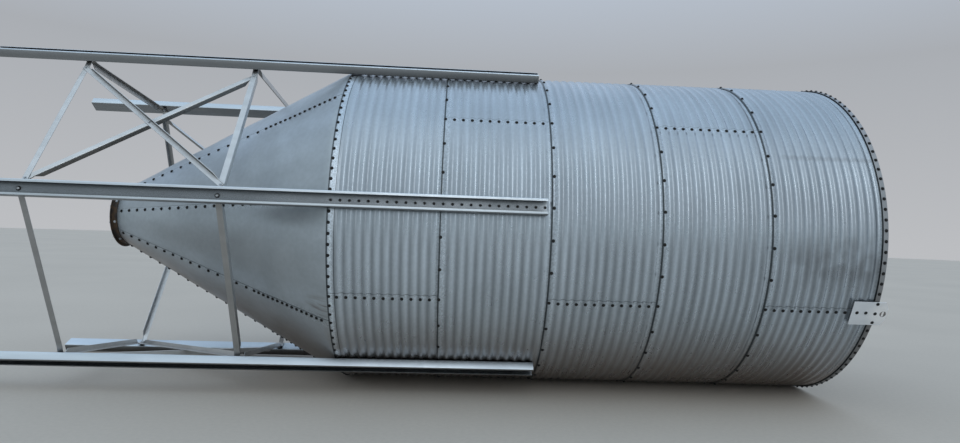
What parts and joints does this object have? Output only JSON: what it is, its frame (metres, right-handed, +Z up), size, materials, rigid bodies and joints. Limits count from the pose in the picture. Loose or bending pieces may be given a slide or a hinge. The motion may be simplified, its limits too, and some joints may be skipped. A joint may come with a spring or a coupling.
{
  "type": "hopper-bottomed grain silo",
  "caption": "Galvanised corrugated grain silo with a bolted cone hopper and braced channel legs, lying on its side before erection, roof off.",
  "frame": {"origin": "on the floor, under the middle of the silo as it lies on its side", "axes": "+X along the silo axis from the feet to the open eave, +Z up; stood up for use, +X would point up"},
  "size_m": [7.0812, 2.924, 2.7359],
  "materials": {
    "galvanised_sheet": "galvanised corrugated sheet, lightly weathered",
    "hopper_sheet": "galvanised flat sheet with dull spangle",
    "galvanised_frame": "fresh bright galvanising",
    "weathered_collar": "dark weathered galvanised steel"
  },
  "bodies": {
    "root": {"ring_1_sheet_a": "galvanised_sheet", "ring_1_sheet_b": "galvanised_sheet", "ring_1_sheet_c": "galvanised_sheet", "ring_2_sheet_a": "galvanised_sheet", "ring_2_sheet_b": "galvanised_sheet", "ring_2_sheet_c": "galvanised_sheet", "ring_3_sheet_a": "galvanised_sheet", "ring_3_sheet_b": "galvanised_sheet", "ring_3_sheet_c": "galvanised_sheet", "ring_4_sheet_a": "galvanised_sheet", "ring_4_sheet_b": "galvanised_sheet", "ring_4_sheet_c": "galvanised_sheet", "ring_5_sheet_a": "galvanised_sheet", "ring_5_sheet_b": "galvanised_sheet", "ring_5_sheet_c": "galvanised_sheet", "hopper_panel_1": "hopper_sheet", "hopper_panel_2": "hopper_sheet", "hopper_panel_3": "hopper_sheet", "hopper_panel_4": "hopper_sheet", "hopper_panel_5": "hopper_sheet", "hopper_panel_6": "hopper_sheet", "hopper_panel_7": "hopper_sheet", "hopper_panel_8": "hopper_sheet", "hopper_panel_9": "hopper_sheet", "outlet_collar": "weathered_collar", "eave_ring": "galvanised_frame", "leg_1": "galvanised_frame", "leg_2": "galvanised_frame", "leg_3": "galvanised_frame", "leg_4": "galvanised_frame", "leg_5": "galvanised_frame", "leg_6": "galvanised_frame", "lower_strut_1_2": "galvanised_frame", "lower_strut_2_3": "galvanised_frame", "lower_strut_3_4": "galvanised_frame", "lower_strut_4_5": "galvanised_frame", "lower_strut_5_6": "galvanised_frame", "lower_strut_6_1": "galvanised_frame", "upper_strut_1_2": "galvanised_frame", "upper_strut_2_3": "galvanised_frame", "upper_strut_3_4": "galvanised_frame", "upper_strut_4_5": "galvanised_frame", "upper_strut_5_6": "galvanised_frame", "upper_strut_6_1": "galvanised_frame", "diagonal_1_2_rising": "galvanised_frame", "diagonal_1_2_falling": "galvanised_frame", "diagonal_3_4_rising": "galvanised_frame", "diagonal_3_4_falling": "galvanised_frame", "diagonal_5_6_rising": "galvanised_frame", "diagonal_5_6_falling": "galvanised_frame", "lifting_lug": "galvanised_frame"}
  },
  "joints": []
}
